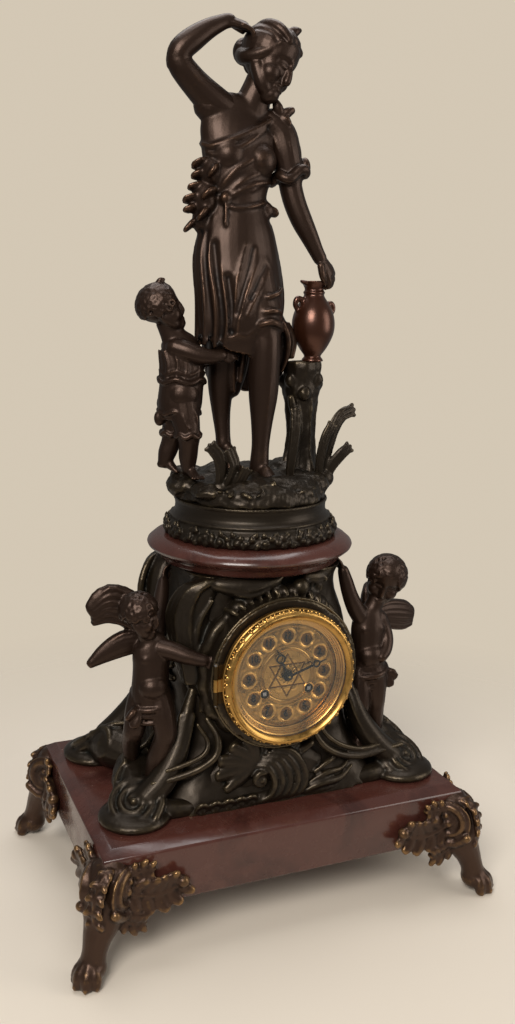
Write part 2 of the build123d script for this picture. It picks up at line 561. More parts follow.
with BuildPart() as putto_left:
    add(trunk([(188, -107, -48, 15, 14), (202, -108, -48, 18, 17), (218, -108, -48, 16, 15), (238, -107, -48, 17, 14),
               (250, -108, -48, 15, 11), (257, -111, -48, 8, 8), (266, -115, -48, 8, 8)]))
    add(egg((-118, -49, 279), 18, 19.5, (-0.3, 0, 1)))
    add(limb([(-106, -51, 208, 12), (-106, -55, 192, 12), (-107, -57, 172, 9.5), (-109, -55, 152, 9), (-111, -52, 126, 6.5)]))
    add(limb([(-112, -46, 127, 6), (-111, -55, 126, 6), (-108, -64, 123, 4.5)]))
    add(limb([(-112, -43, 206, 12), (-116, -42, 190, 11.5), (-119, -42, 168, 9.5), (-121, -40, 148, 8.5), (-122, -38, 130, 6.5)]))
    add(limb([(-102, -53, 247, 8), (-92, -58, 244, 8), (-82, -64, 240, 7), (-72, -69, 237, 6), (-65, -72, 236, 5.5)]))
    add(limb([(-104, -44, 248, 8), (-98, -36, 258, 8), (-92, -26, 272, 7), (-87, -16, 285, 6), (-83, -8, 294, 5.5)]))
    add(leaf((-110, -34, 238), (-163, -30, 272), 34, 5, (-0.1, -1, 0.1)))
    add(leaf((-112, -34, 234), (-158, -28, 250), 24, 5, (-0.1, -1, 0.1)))
    add(case_body.part, mode=Mode.SUBTRACT)
    add(marble_cap.part, mode=Mode.SUBTRACT)
putto_left.part.label = "putto_left"
export_step(putto_left.part, "parts/putto_left.step")


VOLUTE_RADIUS = 29.0
VOLUTE_HEIGHT = 24.0


def base_scroll(side, face):
    """Scroll bracket on one corner of the case: a curved stem that runs out to a lying volute."""
    with BuildPart() as piece:
        add(limb([(side * 76, face * 52, 236, 8), (side * 84, face * 56, 212, 11), (side * 84, face * 58, 180, 12),
                  (side * 90, face * 61, 150, 14), (side * 104, face * 64, 128, 14), (side * 120, face * 66, 116, 13)]))
        with BuildSketch(Plane((side * 128, face * 66, PLINTH_TOP - 6), (1, 0, 0), (side * 0.12, face * 0.1, 1))):
            Circle(VOLUTE_RADIUS + 2)
        extrude(amount=VOLUTE_HEIGHT + 6, taper=12)
        split(bisect_by=Plane.XY.offset(PLINTH_TOP), keep=Keep.TOP)
    return piece.part


with BuildPart() as case_scrolls:
    for side in (1, -1):
        for face in (1, -1):
            add(base_scroll(side, face))
    add(CASE_OUTER, mode=Mode.SUBTRACT)
    add(putto_right.part, mode=Mode.SUBTRACT)
    add(putto_left.part, mode=Mode.SUBTRACT)
case_scrolls.part.label = "case_scrolls"
export_step(case_scrolls.part, "parts/case_scrolls.step")

# Shell apron under the dial drum
with BuildPart() as case_apron:
    with BuildSketch(Plane((-8, DRUM_FRONT + 26, PLINTH_TOP), (1, 0, 0), (0, -1, 0))):
        with BuildLine():
            Line((-66, 0), (66, 0))
            ThreePointArc((66, 0), (70, 14), (54, 24))
            ThreePointArc((54, 24), (52, 38), (36, 44))
            ThreePointArc((36, 44), (30, 56), (14, 54))
            ThreePointArc((14, 54), (0, 62), (-14, 54))
            ThreePointArc((-14, 54), (-30, 56), (-36, 44))
            ThreePointArc((-36, 44), (-52, 38), (-54, 24))
            ThreePointArc((-54, 24), (-70, 14), (-66, 0))
        make_face()
    extrude(amount=27)
    add(CASE_OUTER, mode=Mode.SUBTRACT)
    add(case_scrolls.part, mode=Mode.SUBTRACT)
    add(putto_right.part, mode=Mode.SUBTRACT)
    add(putto_left.part, mode=Mode.SUBTRACT)
case_apron.part.label = "case_apron"
export_step(case_apron.part, "parts/case_apron.step")

# Clock: levels along Y, from the glass in front to the rear door
BEZEL_RADIUS = 60.0
BEZEL_FRONT = -100.0
BEZEL_BACK = -88.3
GLASS_RADIUS = 53.5
GLASS_FRONT = -96.6
GLASS_BACK = -95.0
BEZEL_BORE = 52.5
SIGHT_RADIUS = 46.0
DIAL_RADIUS = 46.5
DIAL_FRONT = -88.0
DIAL_BACK = -86.5
PAN_FLANGE = 57.0
PAN_TUBE = DRUM_BORE - SEAT
PAN_WALL = 2.2
PAN_BACK = -72.0
PLATE_RADIUS = 42.0
FRONT_PLATE = -76.0
PLATE_THICKNESS = 2.0
BACK_PLATE = -42.0
REAR_FLANGE_FRONT = CASE_REAR

# Bezel with its rebate for the glass, and the hinge strip on the viewer's left
HINGE_X = -65.0
HINGE_Y = -89.5
HINGE_PIN = 1.0
KNUCKLE = 2.2
HINGE_HALF = 17.0
HINGE_GAP = 0.3


def upright(x, y, radius, bottom, top):
    """Upright round bar at a plan position."""
    with BuildPart() as piece:
        with BuildSketch(Plane((x, y, bottom))):
            Circle(radius)
        extrude(amount=top - bottom)
    return piece.part


def block(low, high):
    """Square block between two opposite corners."""
    with BuildPart() as piece:
        with Locations(tuple((low[i] + high[i]) / 2 for i in range(3))):
            Box(high[0] - low[0], high[1] - low[1], high[2] - low[2])
    return piece.part


KNUCKLE_LOW = DIAL_Z - HINGE_HALF
KNUCKLE_HIGH = DIAL_Z + HINGE_HALF
KNUCKLE_CUT = HINGE_HALF / 3

with BuildPart() as bezel:
    add(turned_on_dial([
        (BEZEL_RADIUS, BEZEL_BACK), (BEZEL_RADIUS, -93.5), (BEZEL_RADIUS - 2.5, -98.6), (BEZEL_RADIUS - 5.5, BEZEL_FRONT),
        (GLASS_RADIUS - 2, -98.4), (GLASS_RADIUS - 2, GLASS_FRONT - 0.2), (GLASS_RADIUS + 0.1, GLASS_FRONT - 0.2),
        (GLASS_RADIUS + 0.1, GLASS_BACK + 0.1), (BEZEL_BORE, GLASS_BACK + 0.1), (BEZEL_BORE, BEZEL_BACK),
    ]))
    add(block((HINGE_X, HINGE_Y - 1.6, DIAL_Z - KNUCKLE_CUT + HINGE_GAP),
              (-BEZEL_RADIUS + 3, HINGE_Y + 1.0, DIAL_Z + KNUCKLE_CUT - HINGE_GAP)))
    add(upright(HINGE_X, HINGE_Y, KNUCKLE, DIAL_Z - KNUCKLE_CUT + HINGE_GAP, DIAL_Z + KNUCKLE_CUT - HINGE_GAP))
    add(upright(HINGE_X, HINGE_Y, HINGE_PIN + RUNNING, KNUCKLE_LOW, KNUCKLE_HIGH), mode=Mode.SUBTRACT)
bezel.part.label = "bezel"
export_step(bezel.part, "parts/bezel.step")

with BuildPart() as bezel_glass:
    add(rod(0, 0, GLASS_RADIUS, GLASS_FRONT, GLASS_BACK))
bezel_glass.part.label = "bezel_glass"
export_step(bezel_glass.part, "parts/bezel_glass.step")

with BuildPart() as sight_ring:
    add(turned_on_dial([(BEZEL_BORE - 0.1, GLASS_BACK + 0.2), (BEZEL_BORE - 0.1, -89.0), (SIGHT_RADIUS, -89.0),
                        (SIGHT_RADIUS, -89.6), (BEZEL_BORE - 1.2, GLASS_BACK + 0.2)]))
sight_ring.part.label = "sight_ring"
export_step(sight_ring.part, "parts/sight_ring.step")

STRAP_ANGLES = (25.0, 205.0)
STRAP_IN = 43.0
STRAP_OUT = 46.0
STRAP_HALF = 4.0
LIP_RADIUS = 40.2


def strap_bar(angle, grow, front, back):
    """Flat bar along Y at a compass angle round the dial axis, grown by a clearance."""
    turn = math.radians(angle)
    reach = (STRAP_IN + STRAP_OUT) / 2
    spot = (reach * math.cos(turn), back, DIAL_Z + reach * math.sin(turn))
    with BuildPart() as piece:
        with BuildSketch(Plane(spot, (math.cos(turn), 0, math.sin(turn)), (0, -1, 0))):
            Rectangle(STRAP_OUT - STRAP_IN + 2 * grow, 2 * STRAP_HALF + 2 * grow)
        extrude(amount=back - front)
    return piece.part


# Pan that carries the dial and movement in the drum of the case
with BuildPart() as dial_pan:
    add(turned_on_dial([
        (PAN_FLANGE, DIAL_FRONT), (PAN_FLANGE, DRUM_FRONT), (PAN_TUBE, DRUM_FRONT), (PAN_TUBE, PAN_BACK),
        (LIP_RADIUS, PAN_BACK), (LIP_RADIUS, FRONT_PLATE + PLATE_THICKNESS),
        (PAN_TUBE - PAN_WALL, FRONT_PLATE + PLATE_THICKNESS), (PAN_TUBE - PAN_WALL, DIAL_FRONT),
    ]))
    add(block((HINGE_X, DIAL_FRONT, KNUCKLE_LOW), (-PAN_FLANGE + 6, DRUM_FRONT, KNUCKLE_HIGH)))
    add(upright(HINGE_X, HINGE_Y, KNUCKLE, KNUCKLE_LOW, DIAL_Z - KNUCKLE_CUT))
    add(upright(HINGE_X, HINGE_Y, KNUCKLE, DIAL_Z + KNUCKLE_CUT, KNUCKLE_HIGH))
    add(upright(HINGE_X, HINGE_Y, KNUCKLE + HINGE_GAP, DIAL_Z - KNUCKLE_CUT, DIAL_Z + KNUCKLE_CUT), mode=Mode.SUBTRACT)
    add(upright(HINGE_X, HINGE_Y, HINGE_PIN + RUNNING, KNUCKLE_LOW - 1, KNUCKLE_HIGH + 1), mode=Mode.SUBTRACT)
    for angle in STRAP_ANGLES:
        add(strap_bar(angle, RUNNING, FRONT_PLATE + PLATE_THICKNESS, PAN_BACK), mode=Mode.SUBTRACT)
dial_pan.part.label = "dial_pan"
export_step(dial_pan.part, "parts/dial_pan.step")

# Trains: positions on the dial plane as (right, up) from the dial centre
PRESSURE = math.radians(25.0)
ADDENDUM = 0.72
DEDENDUM = 0.95
BACKLASH = 0.16
ARBOR = 0.9
PIVOT = 0.6
WINDING_ARBOR = 2.2
WINDING_SQUARE = 3.0


def polar(spot, distance, degrees):
    """Point at a distance and compass angle from another point."""
    turn = math.radians(degrees)
    return (spot[0] + distance * math.cos(turn), spot[1] + distance * math.sin(turn))


def mesh_distance(module, wheel, pinion):
    """Centre distance of two gears."""
    return module * (wheel + pinion) / 2


def meet(first, reach, second, span, side):
    """Point at given distances from two points, on one side of the line between them."""
    gap = math.dist(first, second)
    along = (reach ** 2 - span ** 2 + gap ** 2) / (2 * gap)
    across = side * math.sqrt(reach ** 2 - along ** 2)
    ux = (second[0] - first[0]) / gap
    uz = (second[1] - first[1]) / gap
    return (first[0] + along * ux - across * uz, first[1] + along * uz + across * ux)


def mesh_phase(first, phase, teeth, second, count):
    """Turn of the second gear, in radians, that puts a gap where the first gear has a tooth."""
    toward = math.atan2(second[1] - first[1], second[0] - first[0])
    return toward + math.pi - (math.tau / count) * (0.5 - (toward - phase) * teeth / math.tau)


def involute(angle):
    """Involute of an angle."""
    return math.tan(angle) - angle


def gear(spot, module, teeth, phase, front, back):
    """Spur gear with straight-sided teeth cut from the involute, thinned for backlash."""
    pitch = module * teeth / 2
    base = pitch * math.cos(PRESSURE)
    root = pitch - DEDENDUM * module
    tip = pitch + ADDENDUM * module
    half = math.pi / (2 * teeth) * (1 - BACKLASH)
    flank = []
    for radius in (root, pitch, tip):
        slope = math.acos(min(1.0, base / radius))
        flank.append((radius, half + involute(PRESSURE) - involute(slope)))
    corners = []
    for number in range(teeth):
        middle = phase + number * math.tau / teeth
        for radius, lean in flank:
            corners.append((radius * math.cos(middle - lean), radius * math.sin(middle - lean)))
        for radius, lean in reversed(flank):
            corners.append((radius * math.cos(middle + lean), radius * math.sin(middle + lean)))
    with BuildPart() as piece:
        with BuildSketch(Plane((spot[0], back, DIAL_Z + spot[1]), (1, 0, 0), (0, -1, 0))):
            with BuildLine():
                Polyline(*corners, close=True)
            make_face()
        extrude(amount=back - front)
    return piece.part


def arbor(spot, front=FRONT_PLATE, back=BACK_PLATE + PLATE_THICKNESS, radius=ARBOR):
    """Arbor between the plates with thinner pivots in both plates."""
    with BuildPart() as piece:
        add(rod(spot[0], spot[1], radius, FRONT_PLATE + PLATE_THICKNESS + 0.2, BACK_PLATE - 0.2))
        add(rod(spot[0], spot[1], PIVOT, front, back))
    return piece.part


def crossings(spot, inner, outer, count, front, back):
    """Cutters that leave spokes in a wheel."""
    with BuildPart() as piece:
        with BuildSketch(Plane((spot[0], back + 1, DIAL_Z + spot[1]), (1, 0, 0), (0, -1, 0))):
            Circle(outer)
            Circle(inner, mode=Mode.SUBTRACT)
            with PolarLocations(0, count):
                Rectangle(2 * outer, outer * 0.22, mode=Mode.SUBTRACT)
        extrude(amount=back - front + 2)
    return piece.part


GREAT_TEETH, GREAT_MODULE = 64, 0.5
SECOND_LEAVES, SECOND_TEETH, SECOND_MODULE = 10, 54, 0.45
CENTRE_LEAVES, CENTRE_TEETH, CENTRE_MODULE = 10, 48, 0.48
THIRD_LEAVES, THIRD_TEETH, THIRD_MODULE = 12, 48, 0.44
ESCAPE_LEAVES, ESCAPE_TEETH, ESCAPE_RADIUS = 12, 30, 9.0
PIN_LEAVES, PIN_TEETH, PIN_MODULE = 10, 40, 0.45
FLY_LEAVES = 8
CANNON_TEETH, MINUTE_TEETH, CANNON_MODULE = 12, 36, 0.6
MINUTE_LEAVES, HOUR_TEETH = 10, 40

CENTRE = (0.0, 0.0)
STRIKE_OFFSET = 2.0
GOING = (20.5, -14.2)
STRIKE = (-20.5, -14.2)
BARREL_REACH = mesh_distance(GREAT_MODULE, GREAT_TEETH, SECOND_LEAVES)
SECOND_REACH = mesh_distance(SECOND_MODULE, SECOND_TEETH, CENTRE_LEAVES)
SECOND = meet(GOING, BARREL_REACH, CENTRE, SECOND_REACH, -1)
STRIKE_SECOND = meet(STRIKE, BARREL_REACH, CENTRE, SECOND_REACH + STRIKE_OFFSET, 1)
THIRD = polar(CENTRE, mesh_distance(CENTRE_MODULE, CENTRE_TEETH, THIRD_LEAVES), 90)
ESCAPE = polar(THIRD, mesh_distance(THIRD_MODULE, THIRD_TEETH, ESCAPE_LEAVES), 60)
PALLET = (0.0, 36.5)
PIN_WHEEL = polar(STRIKE_SECOND, mesh_distance(SECOND_MODULE, SECOND_TEETH, PIN_LEAVES), 125)
FLY = polar(PIN_WHEEL, mesh_distance(PIN_MODULE, PIN_TEETH, FLY_LEAVES), 200)
CANNON_REACH = mesh_distance(CANNON_MODULE, CANNON_TEETH, MINUTE_TEETH)
MINUTE = (0.0, -CANNON_REACH)
HOUR_MODULE = 2 * CANNON_REACH / (MINUTE_LEAVES + HOUR_TEETH)
HAMMER = (-8.5, 27.5)

GOING_PHASE = 0.0
SECOND_PINION_PHASE = mesh_phase(GOING, GOING_PHASE, GREAT_TEETH, SECOND, SECOND_LEAVES)
SECOND_PHASE = 0.0
CENTRE_PINION_PHASE = mesh_phase(SECOND, SECOND_PHASE, SECOND_TEETH, CENTRE, CENTRE_LEAVES)
CENTRE_PHASE = 0.0
THIRD_PINION_PHASE = mesh_phase(CENTRE, CENTRE_PHASE, CENTRE_TEETH, THIRD, THIRD_LEAVES)
THIRD_PHASE = 0.0
ESCAPE_PINION_PHASE = mesh_phase(THIRD, THIRD_PHASE, THIRD_TEETH, ESCAPE, ESCAPE_LEAVES)
STRIKE_SECOND_PINION_PHASE = mesh_phase(STRIKE, 0.0, GREAT_TEETH, STRIKE_SECOND, SECOND_LEAVES)
PIN_PINION_PHASE = mesh_phase(STRIKE_SECOND, 0.0, SECOND_TEETH, PIN_WHEEL, PIN_LEAVES)
FLY_PINION_PHASE = mesh_phase(PIN_WHEEL, 0.0, PIN_TEETH, FLY, FLY_LEAVES)
MINUTE_PHASE = mesh_phase(CENTRE, 0.0, CANNON_TEETH, MINUTE, MINUTE_TEETH)
HOUR_PHASE = mesh_phase(MINUTE, 0.0, MINUTE_LEAVES, CENTRE, HOUR_TEETH)

PILLARS = [(0.0, -36.0), (34.2, 14.6), (-14.4, 34.4), (-37.4, -4.0)]
PILLAR_RADIUS = 2.3
DIAL_FEET = [polar(CENTRE, 38.5, angle) for angle in (35, 145, 250)]
DIAL_FOOT = 1.2
BELL_POST = (26.0, -22.0)
FRONT_PIVOTS = [SECOND, THIRD, ESCAPE, PALLET, STRIKE_SECOND, PIN_WHEEL, FLY, HAMMER]

with BuildPart() as dial:
    add(turned_on_dial([(3.6, DIAL_FRONT), (3.6, DIAL_BACK), (DIAL_RADIUS, DIAL_BACK), (DIAL_RADIUS, DIAL_FRONT),
                        (43, DIAL_FRONT), (43, DIAL_FRONT + 0.3), (24.5, DIAL_FRONT + 0.3), (24.5, DIAL_FRONT - 0.5),
                        (22.5, DIAL_FRONT - 0.5), (22.5, DIAL_FRONT + 0.2), (7, DIAL_FRONT + 0.2),
                        (7, DIAL_FRONT)]))
    for number in range(12):
        cup = polar(CENTRE, 34.8, 30 * number)
        add(rod(cup[0], cup[1], 6.6, DIAL_FRONT - 1, DIAL_FRONT + 0.8), mode=Mode.SUBTRACT)
    for spot in (GOING, STRIKE):
        add(rod(spot[0], spot[1], 4.0, DIAL_FRONT - 1, DIAL_BACK + 1), mode=Mode.SUBTRACT)
    for spot in DIAL_FEET:
        add(rod(spot[0], spot[1], DIAL_FOOT, DIAL_BACK - 0.4, FRONT_PLATE + PLATE_THICKNESS))
        add(rod(spot[0], spot[1], DIAL_FOOT + 0.8, DIAL_BACK - 0.4, FRONT_PLATE))
dial.part.label = "dial"
export_step(dial.part, "parts/dial.step")

with BuildPart() as front_plate:
    add(rod(0, 0, PLATE_RADIUS, FRONT_PLATE, FRONT_PLATE + PLATE_THICKNESS))
    for spot in FRONT_PIVOTS:
        add(rod(spot[0], spot[1], PIVOT + RUNNING, FRONT_PLATE - 1, FRONT_PLATE + 3), mode=Mode.SUBTRACT)
    for spot in (GOING, STRIKE):
        add(rod(spot[0], spot[1], WINDING_ARBOR + RUNNING, FRONT_PLATE - 1, FRONT_PLATE + 3), mode=Mode.SUBTRACT)
    for spot in DIAL_FEET:
        add(rod(spot[0], spot[1], DIAL_FOOT + RUNNING, FRONT_PLATE - 1, FRONT_PLATE + 3), mode=Mode.SUBTRACT)
    for spot in PILLARS:
        add(rod(spot[0], spot[1], 1.5 + RUNNING, FRONT_PLATE - 1, FRONT_PLATE + 3), mode=Mode.SUBTRACT)
    add(rod(0, 0, 1.0 + RUNNING, FRONT_PLATE - 1, FRONT_PLATE + 3), mode=Mode.SUBTRACT)
    add(rod(MINUTE[0], MINUTE[1], 1.0 + RUNNING, FRONT_PLATE - 1, FRONT_PLATE + 3), mode=Mode.SUBTRACT)
front_plate.part.label = "front_plate"
export_step(front_plate.part, "parts/front_plate.step")

with BuildPart() as back_plate:
    add(rod(0, 0, PLATE_RADIUS, BACK_PLATE, BACK_PLATE + PLATE_THICKNESS))
    for spot in FRONT_PIVOTS:
        if spot not in (PALLET, HAMMER):
            add(rod(spot[0], spot[1], PIVOT + RUNNING, BACK_PLATE - 1, BACK_PLATE + 3), mode=Mode.SUBTRACT)
    add(rod(HAMMER[0], HAMMER[1], 1.2 + RUNNING, BACK_PLATE - 1, BACK_PLATE + 3), mode=Mode.SUBTRACT)
    add(rod(PALLET[0], PALLET[1], 3.0, BACK_PLATE - 1, BACK_PLATE + 3), mode=Mode.SUBTRACT)
    for spot in (GOING, STRIKE):
        add(rod(spot[0], spot[1], 1.5 + RUNNING, BACK_PLATE - 1, BACK_PLATE + 3), mode=Mode.SUBTRACT)
    for spot in PILLARS:
        add(rod(spot[0], spot[1], 1.5 + RUNNING, BACK_PLATE - 1, BACK_PLATE + 3), mode=Mode.SUBTRACT)
    add(rod(0, 0, PIVOT + RUNNING, BACK_PLATE - 1, BACK_PLATE + 3), mode=Mode.SUBTRACT)
back_plate.part.label = "back_plate"
export_step(back_plate.part, "parts/back_plate.step")

with BuildPart() as plate_pillars:
    for spot in PILLARS:
        add(rod(spot[0], spot[1], PILLAR_RADIUS, FRONT_PLATE + PLATE_THICKNESS, BACK_PLATE))
        add(rod(spot[0], spot[1], 1.5, FRONT_PLATE, BACK_PLATE + PLATE_THICKNESS + 1.5))
plate_pillars.part.label = "plate_pillars"
export_step(plate_pillars.part, "parts/plate_pillars.step")

# Spring barrels with their great wheels, and the winding arbors that pass through them
BARREL_RADIUS = 14.6
BARREL_FRONT = -69.5
GREAT_FRONT = -53.0
GREAT_BACK = -50.5


def barrel(spot, phase):
    """Spring barrel with its great wheel, bored for the winding arbor."""
    with BuildPart() as piece:
        add(rod(spot[0], spot[1], BARREL_RADIUS, BARREL_FRONT, GREAT_FRONT))
        add(gear(spot, GREAT_MODULE, GREAT_TEETH, phase, GREAT_FRONT, GREAT_BACK))
        add(rod(spot[0], spot[1], BARREL_RADIUS - 1.2, BARREL_FRONT + 1.2, GREAT_FRONT - 0.5), mode=Mode.SUBTRACT)
        add(rod(spot[0], spot[1], WINDING_ARBOR + RUNNING, BARREL_FRONT - 1, GREAT_BACK + 1), mode=Mode.SUBTRACT)
    return piece.part


def winding_arbor(spot):
    """Winding arbor: round through the barrel, a square for the key in front and a ratchet wheel."""
    with BuildPart() as piece:
        add(rod(spot[0], spot[1], WINDING_ARBOR, FRONT_PLATE - 3.0, BACK_PLATE - 0.3))
        add(rod(spot[0], spot[1], WINDING_ARBOR + 2.5, BARREL_FRONT + 2, GREAT_FRONT - 1.5))
        add(rod(spot[0], spot[1], 1.5, BACK_PLATE - 0.3, BACK_PLATE + PLATE_THICKNESS))
        with BuildSketch(Plane((spot[0], FRONT_PLATE - 3.0, DIAL_Z + spot[1]), (1, 0, 0), (0, -1, 0))):
            Rectangle(WINDING_SQUARE, WINDING_SQUARE)
        extrude(amount=9.5)
        teeth = []
        for number in range(16):
            turn = number * math.tau / 16
            teeth.append((6.6 * math.cos(turn), 6.6 * math.sin(turn)))
            teeth.append((5.4 * math.cos(turn + 0.04), 5.4 * math.sin(turn + 0.04)))
        with BuildSketch(Plane((spot[0], FRONT_PLATE - 1.2, DIAL_Z + spot[1]), (1, 0, 0), (0, -1, 0))):
            with BuildLine():
                Polyline(*teeth, close=True)
            make_face()
        extrude(amount=1.4)
    return piece.part


with BuildPart() as going_barrel:
    add(barrel(GOING, GOING_PHASE))
going_barrel.part.label = "going_barrel"
export_step(going_barrel.part, "parts/going_barrel.step")

with BuildPart() as strike_barrel:
    add(barrel(STRIKE, 0.0))
strike_barrel.part.label = "strike_barrel"
export_step(strike_barrel.part, "parts/strike_barrel.step")

with BuildPart() as going_winding_arbor:
    add(winding_arbor(GOING))
going_winding_arbor.part.label = "going_winding_arbor"
export_step(going_winding_arbor.part, "parts/going_winding_arbor.step")

with BuildPart() as strike_winding_arbor:
    add(winding_arbor(STRIKE))
strike_winding_arbor.part.label = "strike_winding_arbor"
export_step(strike_winding_arbor.part, "parts/strike_winding_arbor.step")

# Clicks: pawls on the front plate, resting just clear of the ratchet tips
CLICK_REACH = 13.0
CLICK_ANGLE = 300.0
with BuildPart() as winding_clicks:
    for spot in (GOING, STRIKE):
        post = polar(spot, CLICK_REACH, CLICK_ANGLE)
        nose = polar(spot, 6.95, CLICK_ANGLE + 38)
        with BuildSketch(Plane((post[0], FRONT_PLATE - 1.2, DIAL_Z + post[1]), (1, 0, 0), (0, -1, 0))):
            Circle(2.2)
            with BuildLine():
                reach = (nose[0] - post[0], nose[1] - post[1])
                size = math.hypot(*reach)
                across = (-reach[1] / size, reach[0] / size)
                Polyline((2.0 * across[0], 2.0 * across[1]), reach, (-2.0 * across[0], -2.0 * across[1]), close=True)
            make_face()
        extrude(amount=1.4)
        add(rod(post[0], post[1], 1.4, FRONT_PLATE - 3.4, FRONT_PLATE))
winding_clicks.part.label = "winding_clicks"
export_step(winding_clicks.part, "parts/winding_clicks.step")

# Going train
SECOND_FRONT = -47.0
SECOND_BACK = -45.6
CENTRE_FRONT = -72.8
CENTRE_BACK = -71.5
THIRD_FRONT = -63.0
THIRD_BACK = -61.7
ESCAPE_FRONT = -46.8
ESCAPE_BACK = -45.6
CENTRE_ARBOR = 1.0
HAND_TIP = -93.2

with BuildPart() as second_wheel:
    add(gear(SECOND, SECOND_MODULE, SECOND_TEETH, SECOND_PHASE, SECOND_FRONT, SECOND_BACK))
    add(crossings(SECOND, 3.4, 9.8, 4, SECOND_FRONT, SECOND_BACK), mode=Mode.SUBTRACT)
    add(gear(SECOND, GREAT_MODULE, SECOND_LEAVES, SECOND_PINION_PHASE, GREAT_FRONT - 1, SECOND_FRONT))
    add(arbor(SECOND))
second_wheel.part.label = "second_wheel"
export_step(second_wheel.part, "parts/second_wheel.step")

with BuildPart() as centre_wheel:
    add(gear(CENTRE, CENTRE_MODULE, CENTRE_TEETH, CENTRE_PHASE, CENTRE_FRONT, CENTRE_BACK))
    add(crossings(CENTRE, 3.4, 9.2, 4, CENTRE_FRONT, CENTRE_BACK), mode=Mode.SUBTRACT)
    add(gear(CENTRE, SECOND_MODULE, CENTRE_LEAVES, CENTRE_PINION_PHASE, SECOND_FRONT - 1, SECOND_BACK + 1))
    add(rod(0, 0, CENTRE_ARBOR, HAND_TIP, BACK_PLATE - 0.2))
    add(rod(0, 0, PIVOT, BACK_PLATE - 1, BACK_PLATE + PLATE_THICKNESS))
centre_wheel.part.label = "centre_wheel"
export_step(centre_wheel.part, "parts/centre_wheel.step")

with BuildPart() as third_wheel:
    add(gear(THIRD, THIRD_MODULE, THIRD_TEETH, THIRD_PHASE, THIRD_FRONT, THIRD_BACK))
    add(crossings(THIRD, 3.0, 8.4, 4, THIRD_FRONT, THIRD_BACK), mode=Mode.SUBTRACT)
    add(gear(THIRD, CENTRE_MODULE, THIRD_LEAVES, THIRD_PINION_PHASE, CENTRE_FRONT - 0.8, CENTRE_BACK + 1))
    add(arbor(THIRD))
third_wheel.part.label = "third_wheel"
export_step(third_wheel.part, "parts/third_wheel.step")

with BuildPart() as escape_wheel:
    saw = []
    for number in range(ESCAPE_TEETH):
        turn = number * math.tau / ESCAPE_TEETH
        saw.append((ESCAPE_RADIUS * math.cos(turn), ESCAPE_RADIUS * math.sin(turn)))
        saw.append((7.4 * math.cos(turn + 0.05), 7.4 * math.sin(turn + 0.05)))
    with BuildSketch(Plane((ESCAPE[0], ESCAPE_BACK, DIAL_Z + ESCAPE[1]), (1, 0, 0), (0, -1, 0))):
        with BuildLine():
            Polyline(*saw, close=True)
        make_face()
    extrude(amount=ESCAPE_BACK - ESCAPE_FRONT)
    add(crossings(ESCAPE, 2.6, 6.4, 4, ESCAPE_FRONT, ESCAPE_BACK), mode=Mode.SUBTRACT)
    add(gear(ESCAPE, THIRD_MODULE, ESCAPE_LEAVES, ESCAPE_PINION_PHASE, THIRD_FRONT - 1, THIRD_BACK + 1))
    add(arbor(ESCAPE))
escape_wheel.part.label = "escape_wheel"
export_step(escape_wheel.part, "parts/escape_wheel.step")

# Pallets just clear of the escape teeth, with the crutch that guides the pendulum rod
PENDULUM_Y = -31.0
PENDULUM_ROD = 1.0
CRUTCH_FRONT = -38.6
CRUTCH_BACK = -37.4
CRUTCH_REACH = 31.0
FORK_GAP = 0.35
PALLET_ARBOR_END = -35.0
PALLET_TOWARD = math.degrees(math.atan2(PALLET[1] - ESCAPE[1], PALLET[0] - ESCAPE[0]))
with BuildPart() as pallets:
    for swing in (-50, 50):
        tip = polar(ESCAPE, ESCAPE_RADIUS + 2.2, PALLET_TOWARD + swing)
        run = (tip[0] - PALLET[0], tip[1] - PALLET[1])
        size = math.hypot(*run)
        with BuildSketch(Plane((PALLET[0], ESCAPE_BACK, DIAL_Z + PALLET[1]),
                               (run[0] / size, 0, run[1] / size), (0, -1, 0))):
            with Locations((size / 2, 0)):
                Rectangle(size, 1.8)
            Circle(2.2)
        extrude(amount=ESCAPE_BACK - ESCAPE_FRONT)
    add(rod(PALLET[0], PALLET[1], ARBOR, FRONT_PLATE + PLATE_THICKNESS + 0.2, PALLET_ARBOR_END - 2.0))
    add(rod(PALLET[0], PALLET[1], PIVOT, FRONT_PLATE, PALLET_ARBOR_END))
    add(rod(PALLET[0], PALLET[1], 2.0, CRUTCH_FRONT, CRUTCH_BACK))
    add(block((-1.0, CRUTCH_FRONT, DIAL_Z + PALLET[1] - CRUTCH_REACH), (1.0, CRUTCH_BACK, DIAL_Z + PALLET[1])))
    add(block((-3.0, CRUTCH_FRONT, DIAL_Z + PALLET[1] - CRUTCH_REACH - 2),
              (3.0, CRUTCH_BACK, DIAL_Z + PALLET[1] - CRUTCH_REACH)))
    for side in (-1, 1):
        add(rod(side * (PENDULUM_ROD + FORK_GAP + 0.7), PALLET[1] - CRUTCH_REACH - 1, 0.7, CRUTCH_FRONT, PENDULUM_Y + 2))
pallets.part.label = "pallets"
export_step(pallets.part, "parts/pallets.step")

# Motion works in front of the plate, and the two hands
CANNON_FRONT = -79.2
CANNON_BACK = -76.6
CANNON_PIPE = 2.0
HOUR_FRONT = -81.8
HOUR_BACK = -80.2
HOUR_PIPE = 3.0
MINUTE_FRONT = -78.5
MINUTE_BACK = -77.2
HOUR_HAND_FRONT = -90.4
HOUR_HAND_BACK = -89.6
MINUTE_HAND_FRONT = -92.2
MINUTE_HAND_BACK = -91.4
MINUTE_HAND_LENGTH = 37.0
HOUR_HAND_LENGTH = 27.0
MINUTE_HAND_ANGLE = 72.0
HOUR_HAND_ANGLE = 336.0

